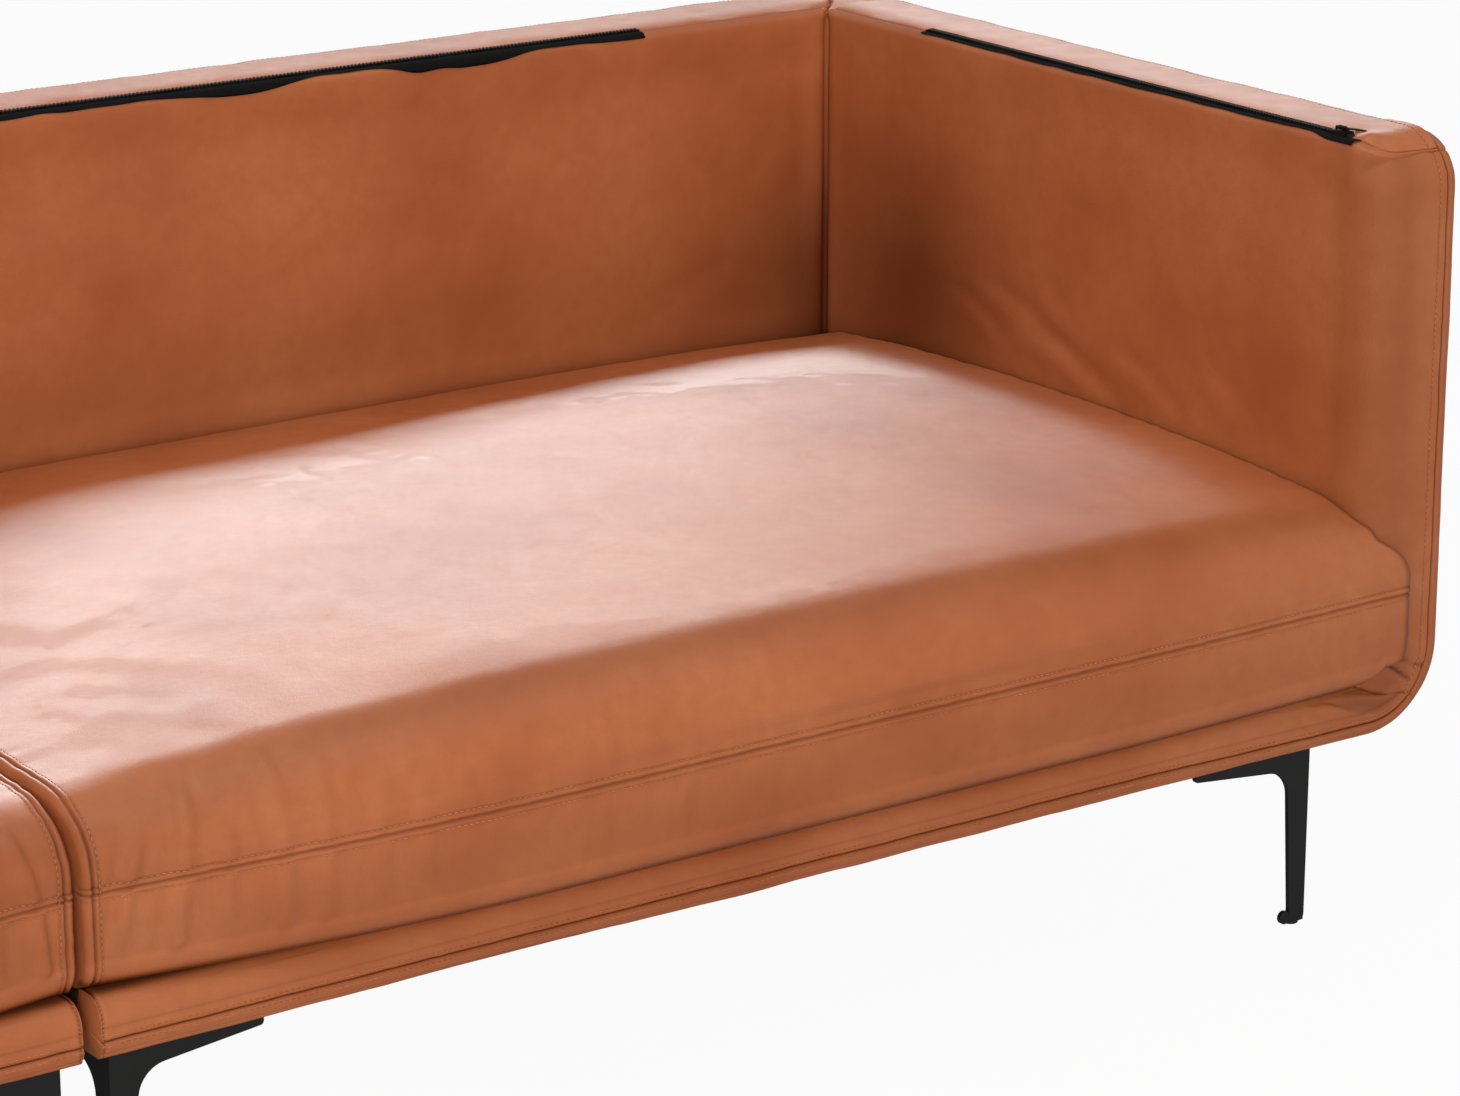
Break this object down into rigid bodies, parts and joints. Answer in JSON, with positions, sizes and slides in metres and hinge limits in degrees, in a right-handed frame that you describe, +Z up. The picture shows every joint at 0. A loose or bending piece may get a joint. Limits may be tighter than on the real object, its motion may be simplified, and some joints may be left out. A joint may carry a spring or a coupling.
{
  "type": "three-seater sofa",
  "caption": "Low modular sofa in tan leather with slim padded arms and back, lift-out seat cushions, exposed black zips and black corner legs.",
  "frame": {"origin": "on the floor, under the middle of the sofa's box", "axes": "+X along the sofa to the right as seen from the front, +Y from the front to the back, +Z up"},
  "size_m": [2.7, 0.925, 0.7133],
  "materials": {
    "leather": "semi-aniline, soft sheen",
    "lining": "matt woven",
    "foam": "matt",
    "timber": "planed",
    "board": "plain",
    "webbing": "woven",
    "zip": "matt",
    "zip_metal": "black lacquer",
    "leg_metal": "matt black powder coat",
    "glide": "matt",
    "steel": "zinc plated",
    "rubber": "matt"
  },
  "bodies": {
    "frame": {"long_rails_left": "timber", "cross_rails_left": "timber", "frame_posts_left": "timber", "top_rails_left": "timber", "arm_panels_left": "board", "back_panels_left": "board", "seat_webbing_left": "webbing", "arm_foam_left": "foam", "back_foam_left": "foam", "rail_foam_left": "foam", "arm_outer_cover_left": "leather", "back_outer_cover_left": "leather", "arm_inner_cover_left": "leather", "back_inner_cover_left": "leather", "rail_cover_left": "leather", "dust_cover_left": "lining", "zip_tapes_left": "zip", "front_outer_leg_left": "leg_metal", "front_inner_leg_left": "leg_metal", "rear_outer_leg_left": "leg_metal", "rear_inner_leg_left": "leg_metal", "long_rails_right": "timber", "cross_rails_right": "timber", "frame_posts_right": "timber", "top_rails_right": "timber", "arm_panels_right": "board", "back_panels_right": "board", "seat_webbing_right": "webbing", "arm_foam_right": "foam", "back_foam_right": "foam", "rail_foam_right": "foam", "arm_outer_cover_right": "leather", "back_outer_cover_right": "leather", "arm_inner_cover_right": "leather", "back_inner_cover_right": "leather", "rail_cover_right": "leather", "dust_cover_right": "lining", "zip_tapes_right": "zip", "front_outer_leg_right": "leg_metal", "front_inner_leg_right": "leg_metal", "rear_outer_leg_right": "leg_metal", "rear_inner_leg_right": "leg_metal", "leg_boards": "board", "leg_screws": "steel", "leg_glides": "glide", "joining_bolts": "steel", "joining_spacers": "rubber"},
    "seat_cushion_left": {"cushion_cover_left": "leather", "cushion_core_left": "foam"},
    "arm_slider_left": {"arm_zip_slider_left": "zip_metal"},
    "arm_pull_left": {"arm_zip_pull_left": "zip_metal"},
    "back_slider_left": {"back_zip_slider_left": "zip_metal"},
    "back_pull_left": {"back_zip_pull_left": "zip_metal"},
    "seat_cushion_right": {"cushion_cover_right": "leather", "cushion_core_right": "foam"},
    "arm_slider_right": {"arm_zip_slider_right": "zip_metal"},
    "arm_pull_right": {"arm_zip_pull_right": "zip_metal"},
    "back_slider_right": {"back_zip_slider_right": "zip_metal"},
    "back_pull_right": {"back_zip_pull_right": "zip_metal"}
  },
  "joints": [
    {"name": "cushion_lift_left", "type": "slide", "parent": "frame", "child": "seat_cushion_left", "axis": [0, 0, 1], "range_m": [0, 0.28]},
    {"name": "arm_zip_left", "type": "slide", "parent": "frame", "child": "arm_slider_left", "axis": [0, 1, 0], "range_m": [0, 0.576]},
    {"name": "arm_pull_swing_left", "type": "hinge", "parent": "arm_slider_left", "child": "arm_pull_left", "pos_m": [-1.266, -0.3775, 0.7114], "axis": [0, 1, 0], "range_deg": [0, 200]},
    {"name": "back_zip_left", "type": "slide", "parent": "frame", "child": "back_slider_left", "axis": [-1, 0, 0], "range_m": [0, 0.856]},
    {"name": "back_pull_swing_left", "type": "hinge", "parent": "back_slider_left", "child": "back_pull_left", "pos_m": [-0.169, 0.3725, 0.7114], "axis": [1, 0, 0], "range_deg": [0, 200]},
    {"name": "cushion_lift_right", "type": "slide", "parent": "frame", "child": "seat_cushion_right", "axis": [0, 0, 1], "range_m": [0, 0.28]},
    {"name": "arm_zip_right", "type": "slide", "parent": "frame", "child": "arm_slider_right", "axis": [0, 1, 0], "range_m": [0, 0.576]},
    {"name": "arm_pull_swing_right", "type": "hinge", "parent": "arm_slider_right", "child": "arm_pull_right", "pos_m": [1.266, -0.3775, 0.7114], "axis": [0, -1, 0], "range_deg": [0, 200]},
    {"name": "back_zip_right", "type": "slide", "parent": "frame", "child": "back_slider_right", "axis": [1, 0, 0], "range_m": [0, 0.856]},
    {"name": "back_pull_swing_right", "type": "hinge", "parent": "back_slider_right", "child": "back_pull_right", "pos_m": [0.169, 0.3725, 0.7114], "axis": [1, 0, 0], "range_deg": [0, 200]}
  ]
}
